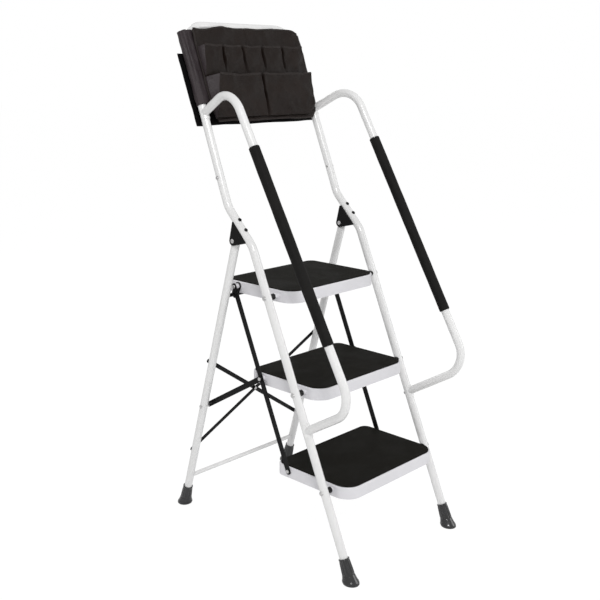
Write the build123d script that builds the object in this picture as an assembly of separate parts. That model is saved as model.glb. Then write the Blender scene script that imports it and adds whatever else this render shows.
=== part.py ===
from build123d import *
import os
from math import atan2, cos, degrees, hypot, radians, sin, tan

# Folding three-tread step ladder with two hand rails, an upper hoop and a tool pouch.
# Millimetres. +X to the user's right, +Y towards the rear legs, +Z up, floor at Z = 0.
# The origin lies on the floor, midway between the front and the rear feet.

# --- tubes and floor plan ---
TUBE_R = 11.0
TUBE_WALL = 1.2
FOOT_SPREAD = 327.0            # distance of the front and of the rear leg axes from the origin, at the floor
FRONT_LEAN = 23.1              # degrees from vertical
MID_LEAN = 43.8
HOOP_LEAN = 21.4
REAR_LEAN = 16.42
FRONT_X = 210.5                # leg axis from the middle plane
REAR_X_FLOOR = 215.3
REAR_X_TOP = 208.3
LOWER_BEND_Z = 814.5
UPPER_BEND_Z = 908.5
HINGE_Z = 824.0
BEND_R = 60.0

# --- upper hoop, measured along its own slope from the upper bend ---
HOOP_JOINT = 57.0
HOOP_JOINT_GAP = 0.25
HOOP_TOP = 494.0
HOOP_TOP_X = 204.0
HOOP_CORNER_R = 70.0
SPIGOT_LENGTH = 55.0
HOOP_SCREW_UP = 80.0

# --- hand rails ---
RAIL_TOP_CORNER = (229.0, 71.5, 1215.0)
RAIL_LOW_CORNER = (238.5, -349.5, 472.0)
RAIL_BEND_R = 69.0
RAIL_TOP_JOINT_Z = 1145.0
RAIL_LOW_JOINT_Z = 365.0
RAIL_SADDLE_LENGTH = 34.0
RAIL_SADDLE_WALL = 1.6
RAIL_SADDLE_REACH = 2.5          # from the upright's axis forward to the saddle's edge
GRIP_R = 14.0
GRIP_LENGTH = 522.0
GRIP_END_R = 1.2
RAIL_BOLT_GRIP = 6.0           # the bolt reaches this far past the upright into the rail

# --- treads ---
TREADS = {                     # name: (mat top height, half width of the mat, mat ahead of the leg axis, depth)
    "bottom": (234.0, 180.5, 62.0, 253.0),
    "middle": (470.0, 174.0, 56.0, 250.0),
    "top": (706.0, 167.5, 52.5, 250.0),
}
MAT_THICK = 2.5
MAT_LIP = 4.5                  # white lip round the mat
MAT_FRONT_R = 40.0
MAT_REAR_R = 21.0
PAN_HEIGHT = 31.0
PAN_WALL = 1.5
PAN_EDGE_R = 3.0
PIVOT_DROP = 16.0              # leg pivot below the mat top
LINK_BACK = 152.0              # rear link pivot behind and above the leg pivot
LINK_RISE = 1.5
TREAD_FOLD = 58.9              # degrees
REAR_FOLD = 37.4

# --- stack of links between a tread and the legs, distances from the middle plane ---
REAR_BOSS_X = 185.7
TIE_X = 186.0
FRONT_BOSS_X = 188.7
BUSH_X = 189.0
DRIVE_X = 190.5
LINK_THICK = 3.0
LINK_HALF_WIDTH = 7.5
LINK_END = 9.0
FIT = 0.05                     # radial clearance of a running fit
GAP = 0.3                      # side clearance between moving parts
BOLT_R = 4.0
RIVET_R = 3.0
BOSS_R = 7.0
BUSH_R = 8.0
HEAD_R = 6.0
HEAD_HEIGHT = 3.5

# --- fasteners ---
SMALL_HEAD_R = 5.0
SMALL_HEAD_HEIGHT = 2.5
LOW_HEAD_HEIGHT = 2.0
HEAD_ROUND = 0.6               # share of a head's height that is rounded off
SHANK_IN_HEAD = 0.5
NUT_R = 6.5
NUT_THICK = 6.0
CUT_PAST = 30.0                # cutters reach this far past what they cut

# --- hinge brackets, along the front leg's middle run ---
BRACKET_HALF = 14.0
BRACKET_LOW = 20.0             # the bracket's ends, from the lower bend
BRACKET_HIGH = 84.0
BRACKET_TIP_R = 3.0
BRACKET_TIP_BACK = 5.0
EAR_THICK = 2.5
EAR_R = 12.5
SCREWS_UP = (47.0, 80.0)

# --- rest hooks ---
HOOK_THICK = 3.0
HOOK_RIM = 6.5
HOOK_SET = 2.0                 # the hook's round end sits this far behind the rod
HOOK_STEPS = 12
HOOK_OPEN_SHARE = 1 / 3        # share of the fold over which the rod leaves the hook
HOOK_MARGIN = 0.6

# --- rear frame ---
DRIVE_Z = 330.6
REST_ROD_Z = 667.0
REST_ROD_R = 5.0
CROSSBAR_Z = 95.0
CROSSBAR_R = 6.0
BRACE_HIGH_Z = 465.0
BRACE_LOW_Z = 181.0
BRACE_WIDTH = 12.0
BRACE_THICK = 2.5
BRACE_OVERHANG = 14.4          # both ends together, past their rivets

# --- feet ---
FOOT_HEIGHT = 60.0
FOOT_CUP_R = 14.0
FOOT_NECK_R = 16.0
FOOT_SOLE_R = 21.5
FOOT_FLARE = 24.0
FOOT_SPLAY = 1.0
FOOT_FLOOR = 9.0               # rubber under the tube's end

# --- tool pouch, in the hoop's own plane ---
POUCH_TOP = 487.0
POUCH_SIDE_BOTTOM = 275.0
POUCH_BOTTOM = 226.0
POUCH_HALF = 220.6
POUCH_DEPTH = 13.8             # half thickness of the sleeve
POUCH_WALL = 1.6
POUCH_FLAT = 0.5               # half of the flat left between the sleeve's rounded sides
APRON_HALF = 186.0
FLAP_TOP = 425.0
FLAP_HALF = 226.0
FLAP_BACK = 5.0                # the flap hangs this far behind the sleeve, clear of the bolt heads
FLAP_SEAM = 8.0
UPPER_ROW = (347.0, 428.0, 16.0)   # bottom, mouth, how far it stands proud
LOWER_ROW = (232.0, 346.0, 28.0)
UPPER_DIVIDERS = (-111.6, -37.2, 37.2, 111.6)
LOWER_DIVIDERS = (0.0,)
ROW_HALF = 186.0


def slope(lean):
    return tan(radians(lean))


def front_axis_y(z):
    return -FOOT_SPREAD + z * slope(FRONT_LEAN)


def rear_axis_y(z):
    return FOOT_SPREAD - z * slope(REAR_LEAN)


def rear_axis_x(z):
    return REAR_X_FLOOR + (REAR_X_TOP - REAR_X_FLOOR) * z / HINGE_Z


LOWER_BEND_Y = front_axis_y(LOWER_BEND_Z)
UPPER_BEND_Y = LOWER_BEND_Y + (UPPER_BEND_Z - LOWER_BEND_Z) * slope(MID_LEAN)
HINGE_Y = rear_axis_y(HINGE_Z)
HOOP_UP = Vector(0, sin(radians(HOOP_LEAN)), cos(radians(HOOP_LEAN)))
HOOP_FRONT = Vector(0, -cos(radians(HOOP_LEAN)), sin(radians(HOOP_LEAN)))
HOOP_PLANE = Plane(origin=(0, UPPER_BEND_Y, UPPER_BEND_Z), x_dir=(1, 0, 0), z_dir=HOOP_FRONT)
LEG_UP = Vector(0, sin(radians(FRONT_LEAN)), cos(radians(FRONT_LEAN)))


def hoop_point(x, up, forward=0.0):
    """A point given across, along and in front of the hoop's plane."""
    return HOOP_PLANE.from_local_coords(Vector(x, up, forward))


def hoop_axis_x(up):
    share = (up - HOOP_JOINT) / (HOOP_TOP - HOOP_JOINT)
    return FRONT_X + (HOOP_TOP_X - FRONT_X) * share


def hoop_leg_up():
    """Direction of the hoop's right leg, which leans in a little."""
    return (hoop_point(HOOP_TOP_X, HOOP_TOP) - hoop_point(FRONT_X, HOOP_JOINT)).normalized()


def mirrored(part):
    return mirror(part, about=Plane.YZ)


def save(name, part):
    export_step(part, f"parts/{name}.step")


def save_pair(name, right):
    save(f"{name}_right", right)
    save(f"{name}_left", mirrored(right))


def pipe(points, radii, radius, wall=None):
    """Round tube, or rod where no wall is given, along straight runs joined by arcs."""
    path = FilletPolyline(*points, radius=radii) if len(points) > 2 else Line(*points)
    start = Plane(origin=path @ 0, z_dir=path % 0)
    section = Circle(radius)
    if wall is not None:
        section = section - Circle(radius - wall)
    return sweep(start * section, path=path)


def rod(start, end, radius):
    """Straight round rod between two points."""
    start, end = Vector(*start), Vector(*end)
    plane = Plane(origin=start, z_dir=end - start)
    return extrude(plane * Circle(radius), (end - start).length)


def x_rod(x0, x1, y, z, radius):
    """Rod along X between two widths."""
    return rod((x0, y, z), (x1, y, z), radius)


def x_dome(x, y, z, radius, height):
    """Domed head that stands out along +X from the plane at x, or along -X for a negative height."""
    direction = 1 if height > 0 else -1
    plane = Plane(origin=(x, y, z), z_dir=(direction, 0, 0))
    head = extrude(plane * Circle(radius), abs(height))
    edge = head.edges().sort_by(Axis.X)[-1 if direction > 0 else 0]
    return fillet(edge, abs(height) * HEAD_ROUND)


def dome(origin, direction, radius, height):
    head = extrude(Plane(origin=origin, z_dir=direction) * Circle(radius), height)
    far = head.faces().sort_by(Axis(origin, direction))[-1]
    return fillet(far.edges(), height * HEAD_ROUND)


def strip(start, end, half_width, end_length, x, thick):
    """Flat bar in a side plane, with round ends; points are (y, z) and the bar is thick from x outwards."""
    run = hypot(end[0] - start[0], end[1] - start[1])
    angle = degrees(atan2(end[1] - start[1], end[0] - start[0]))
    outline = SlotOverall(run + 2 * end_length, 2 * half_width)
    middle = ((start[0] + end[0]) / 2, (start[1] + end[1]) / 2)
    plane = Plane(origin=(x, middle[0], middle[1]), x_dir=(0, 1, 0), z_dir=(1, 0, 0))
    return extrude(plane * Rot(0, 0, angle) * outline, thick)


# ---------------------------------------------------------------- front frame

def front_leg():
    """Right front leg: two bends, and a reduced spigot that enters the hoop."""
    top = hoop_point(FRONT_X, HOOP_JOINT)
    points = [
        (FRONT_X, front_axis_y(FOOT_FLOOR), FOOT_FLOOR),
        (FRONT_X, LOWER_BEND_Y, LOWER_BEND_Z),
        (FRONT_X, UPPER_BEND_Y, UPPER_BEND_Z),
        tuple(top),
    ]
    leg = pipe(points, [BEND_R, BEND_R], TUBE_R, TUBE_WALL)
    spigot_end = hoop_point(hoop_axis_x(HOOP_JOINT + SPIGOT_LENGTH), HOOP_JOINT + SPIGOT_LENGTH)
    spigot_r = TUBE_R - TUBE_WALL - FIT
    below = HOOP_JOINT - SPIGOT_LENGTH / 5
    spigot_start = hoop_point(hoop_axis_x(below), below)
    spigot = rod(spigot_start, spigot_end, spigot_r) - rod(spigot_start, spigot_end, spigot_r - TUBE_WALL)
    collar = rod(spigot_start, top, TUBE_R - TUBE_WALL / 2) - rod(spigot_start, top, spigot_r - TUBE_WALL)
    leg = leg + collar + spigot
    for height, _, _, _ in TREADS.values():
        z = height - PIVOT_DROP
        leg -= x_rod(FRONT_X - 2 * TUBE_R, FRONT_X + 2 * TUBE_R, front_axis_y(z), z, BOLT_R + FIT)
    leg -= rail_bolt_hole(RAIL_LOW_JOINT_Z)
    leg -= hoop_screw_hole()
    for y, z in bracket_screw_points():
        centre = Vector(FRONT_X, y, z)
        leg -= rod(centre - MID_BACK * 2 * TUBE_R, centre + MID_BACK * 2 * TUBE_R, RIVET_R + FIT)
    return leg


def hoop_screw_hole():
    centre = hoop_point(hoop_axis_x(HOOP_SCREW_UP), HOOP_SCREW_UP)
    return x_rod(centre.X - 2 * TUBE_R, centre.X + 2 * TUBE_R, centre.Y, centre.Z, RIVET_R + FIT)


def upper_hoop():
    """Upside-down U whose two ends slide over the legs' spigots."""
    low = HOOP_JOINT + HOOP_JOINT_GAP
    points = [
        tuple(hoop_point(-FRONT_X, low)),
        tuple(hoop_point(-HOOP_TOP_X, HOOP_TOP)),
        tuple(hoop_point(HOOP_TOP_X, HOOP_TOP)),
        tuple(hoop_point(FRONT_X, low)),
    ]
    hoop = pipe(points, [HOOP_CORNER_R, HOOP_CORNER_R], TUBE_R, TUBE_WALL)
    for hole in (hoop_screw_hole(), rail_bolt_hole(RAIL_TOP_JOINT_Z)):
        hoop = hoop - hole - mirrored(hole)
    return hoop


def rail_joint(z):
    """Where a hand rail's end meets the upright: the upright's axis point and its direction."""
    if z > UPPER_BEND_Z:
        up = (z - UPPER_BEND_Z) / cos(radians(HOOP_LEAN))
        return hoop_point(hoop_axis_x(up), up), hoop_leg_up()
    return Vector(FRONT_X, front_axis_y(z), z), LEG_UP


def rail_bolt_axis(z):
    """The bolt's axis: through the upright, along the hand rail's end."""
    joint, _ = rail_joint(z)
    corner = Vector(*(RAIL_TOP_CORNER if z > UPPER_BEND_Z else RAIL_LOW_CORNER))
    return joint, (corner - joint).normalized()


def rail_bolt_hole(z):
    joint, outward = rail_bolt_axis(z)
    return rod(joint - outward * 2 * TUBE_R, joint + outward * 2 * TUBE_R, RIVET_R + FIT)


def hand_rail():
    """Right hand rail: C-shaped tube whose two ends are pressed into saddles round the uprights."""
    low, _ = rail_joint(RAIL_LOW_JOINT_Z)
    top, _ = rail_joint(RAIL_TOP_JOINT_Z)
    corners = [tuple(low), RAIL_LOW_CORNER, RAIL_TOP_CORNER, tuple(top)]
    rail = pipe(corners, [RAIL_BEND_R, RAIL_BEND_R], TUBE_R, TUBE_WALL)
    for z in (RAIL_LOW_JOINT_Z, RAIL_TOP_JOINT_Z):
        joint, upright = rail_joint(z)
        _, outward = rail_bolt_axis(z)
        half = upright * (RAIL_SADDLE_LENGTH / 2)
        rail += rod(joint - half, joint + half, TUBE_R + FIT + RAIL_SADDLE_WALL)
        rail -= rod(joint - half * 2, joint + half * 2, TUBE_R + FIT)
        behind = Plane(origin=joint + outward * RAIL_SADDLE_REACH, z_dir=-outward)
        rail -= extrude(behind * Rectangle(6 * TUBE_R, 6 * TUBE_R), 3 * TUBE_R)
        rail -= rail_bolt_hole(z)
    return rail


def rail_run():
    """Unit direction up the rail's straight run, and the run's middle."""
    low, top = Vector(*RAIL_LOW_CORNER), Vector(*RAIL_TOP_CORNER)
    return (top - low).normalized(), (top + low) * 0.5


def grip():
    """Foam sleeve on the straight run of the hand rail."""
    direction, middle = rail_run()
    start, end = middle - direction * GRIP_LENGTH / 2, middle + direction * GRIP_LENGTH / 2
    sleeve = rod(start, end, GRIP_R)
    sleeve = fillet(sleeve.edges(), GRIP_END_R)
    return sleeve - rod(start - direction, end + direction, TUBE_R + FIT)


def rail_bolt(z):
    """Bolt from the back of the upright into the hand rail's end, with its domed head."""
    joint, outward = rail_bolt_axis(z)
    start, end = joint - outward * (TUBE_R + 2 * SHANK_IN_HEAD), joint + outward * (TUBE_R + RAIL_BOLT_GRIP)
    head = dome(joint - outward * (TUBE_R - SHANK_IN_HEAD), -outward, SMALL_HEAD_R, HEAD_HEIGHT)
    _, upright = rail_joint(z)
    cutter = rod(joint - upright * TUBE_R, joint + upright * TUBE_R, TUBE_R + FIT)
    return (head - cutter) + rod(start, end, RIVET_R)


# ---------------------------------------------------------------- hinge bracket

MID_UP = Vector(0, sin(radians(MID_LEAN)), cos(radians(MID_LEAN)))
MID_BACK = Vector(0, cos(radians(MID_LEAN)), -sin(radians(MID_LEAN)))


def mid_point(up, back=0.0):
    start = Vector(0, LOWER_BEND_Y, LOWER_BEND_Z)
    return start + MID_UP * up + MID_BACK * back


def bracket_screw_points():
    return [(mid_point(up).Y, mid_point(up).Z) for up in SCREWS_UP]


def hinge_bracket():
    """Right bracket: a saddle on the leg's middle run with two ears that carry the rear leg's pin."""
    centre_x = REAR_X_TOP
    plane = Plane(origin=(centre_x, 0, 0), x_dir=(0, 1, 0), z_dir=(1, 0, 0))
    low, high = mid_point(BRACKET_LOW, BRACKET_TIP_BACK), mid_point(BRACKET_HIGH, BRACKET_TIP_BACK)
    outline = make_hull([
        *(Pos(HINGE_Y, HINGE_Z) * Circle(EAR_R)).edges(),
        *(Pos(low.Y, low.Z) * Circle(BRACKET_TIP_R)).edges(),
        *(Pos(high.Y, high.Z) * Circle(BRACKET_TIP_R)).edges(),
    ])
    block = extrude(plane * outline, BRACKET_HALF, both=True)
    web = mid_point(0, TUBE_R + EAR_THICK)
    behind = Plane(origin=(centre_x, web.Y, web.Z), x_dir=(1, 0, 0), z_dir=MID_BACK)
    inner = BRACKET_HALF - EAR_THICK
    block -= extrude(behind * Rectangle(2 * inner, 4 * BRACKET_HIGH), BRACKET_HIGH)
    tube_low, tube_high = mid_point(-BRACKET_HIGH), mid_point(2 * BRACKET_HIGH)
    block -= rod((FRONT_X, tube_low.Y, tube_low.Z), (FRONT_X, tube_high.Y, tube_high.Z), TUBE_R + FIT)
    ahead = Plane(origin=(centre_x, mid_point(0).Y, mid_point(0).Z), x_dir=(1, 0, 0), z_dir=-MID_BACK)
    block -= extrude(ahead * Rectangle(4 * BRACKET_HALF, 4 * BRACKET_HIGH), BRACKET_HIGH)
    block -= x_rod(centre_x - CUT_PAST, centre_x + CUT_PAST, HINGE_Y, HINGE_Z, BOLT_R + FIT)
    for y, z in bracket_screw_points():
        centre = Vector(FRONT_X, y, z)
        block -= rod(centre, centre + MID_BACK * 3 * TUBE_R, RIVET_R + FIT)
    return block


def bracket_screw(y, z):
    centre = Vector(FRONT_X, y, z)
    start = centre - MID_BACK * (TUBE_R + SHANK_IN_HEAD)
    end = centre + MID_BACK * (TUBE_R + EAR_THICK - SHANK_IN_HEAD)
    head = dome(centre - MID_BACK * (TUBE_R + FIT), -MID_BACK, SMALL_HEAD_R, SMALL_HEAD_HEIGHT)
    return rod(start, end, RIVET_R) + head


def hinge_rivet():
    """Pin through both ears and the rear leg's top, with a head on each side."""
    inner, outer = REAR_X_TOP - BRACKET_HALF - FIT, REAR_X_TOP + BRACKET_HALF + FIT
    pin = x_rod(inner - SHANK_IN_HEAD, outer + SHANK_IN_HEAD, HINGE_Y, HINGE_Z, BOLT_R)
    outer_head = x_dome(outer, HINGE_Y, HINGE_Z, HEAD_R, SMALL_HEAD_HEIGHT)
    return pin + outer_head + x_dome(inner, HINGE_Y, HINGE_Z, HEAD_R, -SMALL_HEAD_HEIGHT)


# ---------------------------------------------------------------- feet

def foot(axis_x, axis_y, up):
    """Rubber foot: a cup round the leg's end that flares to a flat sole on the floor."""
    base = Plane(origin=(axis_x, axis_y, 0), x_dir=(1, 0, 0), z_dir=up)
    profile = Polyline(
        (0, -FOOT_SOLE_R), (FOOT_SOLE_R + FOOT_SPLAY, -FOOT_SOLE_R), (FOOT_SOLE_R, FOOT_FLARE / 4),
        (FOOT_NECK_R, FOOT_FLARE), (FOOT_CUP_R, FOOT_HEIGHT), (0, FOOT_HEIGHT), close=True,
    )
    body = revolve(base.location * Plane.XZ.location * make_face(profile), axis=Axis(base.origin, base.z_dir))
    body = body & Pos(axis_x, axis_y, FOOT_HEIGHT) * Box(6 * FOOT_SOLE_R, 6 * FOOT_SOLE_R, 2 * FOOT_HEIGHT)
    start = Vector(axis_x, axis_y, 0) + up * (FOOT_FLOOR / up.Z)
    return body - rod(start - up * 2 * FIT, start + up * 2 * FOOT_HEIGHT, TUBE_R + FIT)


# ---------------------------------------------------------------- treads

def tread_pivot(name):
    """The leg pivot's (y, z)."""
    z = TREADS[name][0] - PIVOT_DROP
    return front_axis_y(z), z


def link_pivot(name):
    y, z = tread_pivot(name)
    return y + LINK_BACK, z + LINK_RISE


def tread_outline(name, lip):
    height, half, ahead, depth = TREADS[name]
    front = front_axis_y(height) - ahead - lip
    back = front + depth + 2 * lip
    outline = Pos(0, (front + back) / 2) * Rectangle(2 * (half + lip), back - front)
    front_corners = outline.vertices().group_by(Axis.Y)[0]
    outline = fillet(front_corners, MAT_FRONT_R + lip)
    rear_corners = outline.vertices().group_by(Axis.Y)[-1]
    return fillet(rear_corners, MAT_REAR_R + lip)


def tread_pan(name):
    """Pressed steel pan, hollow below, with a boss at each pivot."""
    height, half, _, _ = TREADS[name]
    top = height - MAT_THICK
    outer = extrude(Pos(0, 0, top - PAN_HEIGHT) * tread_outline(name, MAT_LIP), PAN_HEIGHT)
    outer = fillet(outer.faces().sort_by(Axis.Z)[-1].edges(), PAN_EDGE_R)
    inner = tread_outline(name, MAT_LIP - PAN_WALL)
    hollow = extrude(Pos(0, 0, top - PAN_HEIGHT) * inner, PAN_HEIGHT - PAN_WALL)
    pan = outer - hollow
    wall = half + MAT_LIP - PAN_WALL
    pivots = ((tread_pivot(name), FRONT_BOSS_X, BOLT_R), (link_pivot(name), REAR_BOSS_X, RIVET_R))
    for (y, z), boss_x, hole_r in pivots:
        boss = x_rod(wall, boss_x, y, z, BOSS_R)
        hole = x_rod(wall - CUT_PAST, boss_x + CUT_PAST, y, z, hole_r + FIT)
        pan = pan + boss + mirrored(boss)
        pan = pan - hole - mirrored(hole)
    return pan


def tread_mat(name):
    """Ribbed rubber mat on the pan."""
    height = TREADS[name][0]
    return extrude(Pos(0, 0, height - MAT_THICK) * tread_outline(name, 0), MAT_THICK)


def pivot_bolt(name):
    """Bolt that holds a tread to the right leg: head outside the leg, shank into the pan."""
    y, z = tread_pivot(name)
    wall = TREADS[name][1] + MAT_LIP - PAN_WALL
    outside = FRONT_X + TUBE_R
    shank = x_rod(wall - 1.5 * NUT_THICK, outside + SHANK_IN_HEAD, y, z, BOLT_R)
    return shank + x_dome(outside + FIT, y, z, HEAD_R, HEAD_HEIGHT)


def pivot_nut(name):
    """Hexagon nut inside the pan, on the end of the pivot bolt."""
    y, z = tread_pivot(name)
    wall = TREADS[name][1] + MAT_LIP - PAN_WALL
    plane = Plane(origin=(wall - GAP - NUT_THICK, y, z), z_dir=(1, 0, 0))
    nut = extrude(plane * RegularPolygon(NUT_R, 6), NUT_THICK)
    return nut - x_rod(wall - CUT_PAST, wall, y, z, BOLT_R + FIT)


def pivot_bush(name):
    """Black bush between the leg and the tread's boss; it hugs the leg's round side."""
    y, z = tread_pivot(name)
    ring = x_rod(BUSH_X, FRONT_X, y, z, BUSH_R) - x_rod(BUSH_X - 1, FRONT_X + 1, y, z, BOLT_R + FIT)
    low, high = Vector(FRONT_X, y, z) - LEG_UP * CUT_PAST, Vector(FRONT_X, y, z) + LEG_UP * CUT_PAST
    return ring - rod(low, high, TUBE_R + FIT)


def link_rivet(name):
    """Pin of the rear link pivot, fixed in the pan's boss, with a head outside the last link."""
    y, z = link_pivot(name)
    wall = TREADS[name][1] + MAT_LIP - PAN_WALL
    last = DRIVE_X if name == "middle" else TIE_X
    outside = last + LINK_THICK + GAP
    pin = x_rod(wall - SHANK_IN_HEAD, outside + SHANK_IN_HEAD, y, z, RIVET_R)
    inner = x_dome(wall - FIT, y, z, SMALL_HEAD_R, -LOW_HEAD_HEIGHT)
    return pin + inner + x_dome(outside, y, z, SMALL_HEAD_R, SMALL_HEAD_HEIGHT)


def grouped(part_of, names):
    """The same piece on both sides of each named tread, as separate solids."""
    pieces = []
    for name in names:
        right = part_of(name)
        pieces += [right, mirrored(right)]
    return Compound(children=pieces)


# ---------------------------------------------------------------- links

def tie_link():
    """Right tie link: joins the three treads behind the legs and keeps them parallel."""
    bar = strip(link_pivot("bottom"), link_pivot("top"), LINK_HALF_WIDTH, LINK_END, TIE_X, LINK_THICK)
    for name in TREADS:
        y, z = link_pivot(name)
        bar -= x_rod(TIE_X - 1, TIE_X + LINK_THICK + 1, y, z, RIVET_R + FIT)
    return bar


def drive_point():
    return rear_axis_y(DRIVE_Z), DRIVE_Z


def drive_link():
    """Right drive link: from the middle tread's rear pivot to the rear leg."""
    bar = strip(link_pivot("middle"), drive_point(), LINK_HALF_WIDTH, LINK_END, DRIVE_X, LINK_THICK)
    for y, z in (link_pivot("middle"), drive_point()):
        bar -= x_rod(DRIVE_X - 1, DRIVE_X + LINK_THICK + 1, y, z, RIVET_R + FIT)
    return bar


def drive_stud():
    """Stud at the drive link's rear end, just short of the rear leg."""
    y, z = drive_point()
    outer = rear_axis_x(z) - TUBE_R - GAP
    stud = x_rod(DRIVE_X - 1, outer - 1, y, z, RIVET_R)
    spacer = x_rod(DRIVE_X + LINK_THICK + FIT, outer, y, z, SMALL_HEAD_R)
    return stud + spacer + x_dome(DRIVE_X - FIT, y, z, SMALL_HEAD_R, -LOW_HEAD_HEIGHT)


# ---------------------------------------------------------------- rear frame

REAR_UP = Vector((REAR_X_TOP - REAR_X_FLOOR) / HINGE_Z, -slope(REAR_LEAN), 1).normalized()
REAR_BACK = Vector(0, cos(radians(REAR_LEAN)), sin(radians(REAR_LEAN)))


def rear_point(z, back=0.0):
    return Vector(rear_axis_x(z), rear_axis_y(z), z) + REAR_BACK * back


def brace_ends():
    return rear_point(BRACE_HIGH_Z), rear_point(BRACE_LOW_Z)


def rear_leg():
    """Right rear leg, closed at the top, with holes for its pin, bolts, rod and crossbar."""
    start = Vector(rear_axis_x(FOOT_FLOOR), rear_axis_y(FOOT_FLOOR), FOOT_FLOOR)
    end = Vector(REAR_X_TOP, HINGE_Y, HINGE_Z) + REAR_UP * TUBE_R
    leg = rod(start, end, TUBE_R) - rod(start - REAR_UP, end - REAR_UP * TUBE_WALL, TUBE_R - TUBE_WALL)
    leg -= x_rod(REAR_X_TOP - CUT_PAST, REAR_X_TOP + CUT_PAST, HINGE_Y, HINGE_Z, BOLT_R + FIT)
    leg -= x_rod(0, rear_axis_x(DRIVE_Z) + CUT_PAST, *drive_point(), RIVET_R + FIT)
    leg -= x_rod(0, rear_axis_x(REST_ROD_Z), rear_axis_y(REST_ROD_Z), REST_ROD_Z, REST_ROD_R + FIT)
    leg -= x_rod(0, rear_axis_x(CROSSBAR_Z), rear_axis_y(CROSSBAR_Z), CROSSBAR_Z, CROSSBAR_R + FIT)
    for point in brace_ends():
        leg -= rod(point, point + REAR_BACK * 3 * TUBE_R, RIVET_R + FIT)
    return leg


def cross_rod(z, radius):
    end = rear_axis_x(z) - TUBE_R / 2
    return x_rod(-end, end, rear_axis_y(z), z, radius)


def rear_tube_cutters():
    cutters = []
    for side in (1, -1):
        low, high = rear_point(0), rear_point(HINGE_Z)
        cutters.append(rod((side * low.X, low.Y, low.Z), (side * high.X, high.Y, high.Z), TUBE_R + FIT))
    return cutters


def brace(side, layer):
    """Flat diagonal on the back of the rear legs, from a high left or right end to the low other end."""
    high, low = rear_point(BRACE_HIGH_Z, TUBE_R), rear_point(BRACE_LOW_Z, TUBE_R)
    start, end = Vector(side * high.X, high.Y, high.Z), Vector(-side * low.X, low.Y, low.Z)
    along = (end - start).normalized()
    middle = (start + end) * 0.5 + REAR_BACK * (FIT + layer * (BRACE_THICK + FIT))
    plane = Plane(origin=middle, x_dir=along, z_dir=REAR_BACK)
    bar = extrude(plane * SlotOverall((end - start).length + BRACE_OVERHANG, BRACE_WIDTH), BRACE_THICK)
    for hole in brace_hole_axes():
        bar -= hole
    return bar


def brace_hole_axes():
    holes = []
    for point in brace_ends():
        for side in (1, -1):
            start = Vector(side * point.X, point.Y, point.Z)
            holes.append(rod(start, start + REAR_BACK * 3 * TUBE_R, RIVET_R + FIT))
    middle = brace_middle()
    holes.append(rod(middle - REAR_BACK * TUBE_R, middle + REAR_BACK * TUBE_R, RIVET_R + FIT))
    return holes


def brace_middle():
    """Where the two diagonals cross: their ends' widths differ a little, so it is not at mid height."""
    high, low = rear_point(BRACE_HIGH_Z, TUBE_R), rear_point(BRACE_LOW_Z, TUBE_R)
    share = high.X / (high.X + low.X)
    y = high.Y + (low.Y - high.Y) * share
    z = high.Z + (low.Z - high.Z) * share
    return Vector(0, y, z)


def brace_rivets():
    """Rivets of the two diagonals: one at each end and one where they cross."""
    stack = {1: BRACE_THICK, 2: 2 * BRACE_THICK + FIT}
    rivets = []
    high, low = brace_ends()
    for point, side, layers in ((high, 1, 1), (high, -1, 2), (low, -1, 1), (low, 1, 2)):
        start = Vector(side * point.X, point.Y, point.Z)
        face = start + REAR_BACK * (TUBE_R + 2 * FIT + stack[layers])
        shank = rod(start + REAR_BACK * (TUBE_R - 2 * TUBE_WALL), face + REAR_BACK, RIVET_R)
        rivets.append(shank + dome(face, REAR_BACK, SMALL_HEAD_R, SMALL_HEAD_HEIGHT))
    middle = brace_middle()
    face = middle + REAR_BACK * (2 * FIT + stack[2])
    shank = rod(middle - REAR_BACK, face + REAR_BACK, RIVET_R)
    rivets.append(shank + dome(face, REAR_BACK, SMALL_HEAD_R, SMALL_HEAD_HEIGHT)
                  + dome(middle, -REAR_BACK, SMALL_HEAD_R, LOW_HEAD_HEIGHT))
    return Compound(children=rivets)


def drive_bolt():
    """Bolt in the rear leg at the drive link: its head outside, its shank inside the tube."""
    y, z = drive_point()
    outside = rear_axis_x(z) + TUBE_R
    shank = x_rod(rear_axis_x(z) - TUBE_R + TUBE_WALL, outside + SHANK_IN_HEAD, y, z, RIVET_R)
    head = x_dome(outside - SHANK_IN_HEAD, y, z, SMALL_HEAD_R, HEAD_HEIGHT)
    return shank + (head - rear_tube_cutters()[0])


def rod_in_tread_frame(fold):
    """The rest rod's centre, seen from the folding top tread, as (y, z) at rest."""
    angle = radians(REAR_FOLD * fold)
    dy, dz = rear_axis_y(REST_ROD_Z) - HINGE_Y, REST_ROD_Z - HINGE_Z
    y = HINGE_Y + dy * cos(angle) + dz * sin(angle)
    z = HINGE_Z - dy * sin(angle) + dz * cos(angle)
    pivot_y, pivot_z = tread_pivot("top")
    turn = radians(TREAD_FOLD * fold)
    dy, dz = y - pivot_y, z - pivot_z
    return pivot_y + dy * cos(turn) + dz * sin(turn), pivot_z - dy * sin(turn) + dz * cos(turn)


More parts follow.
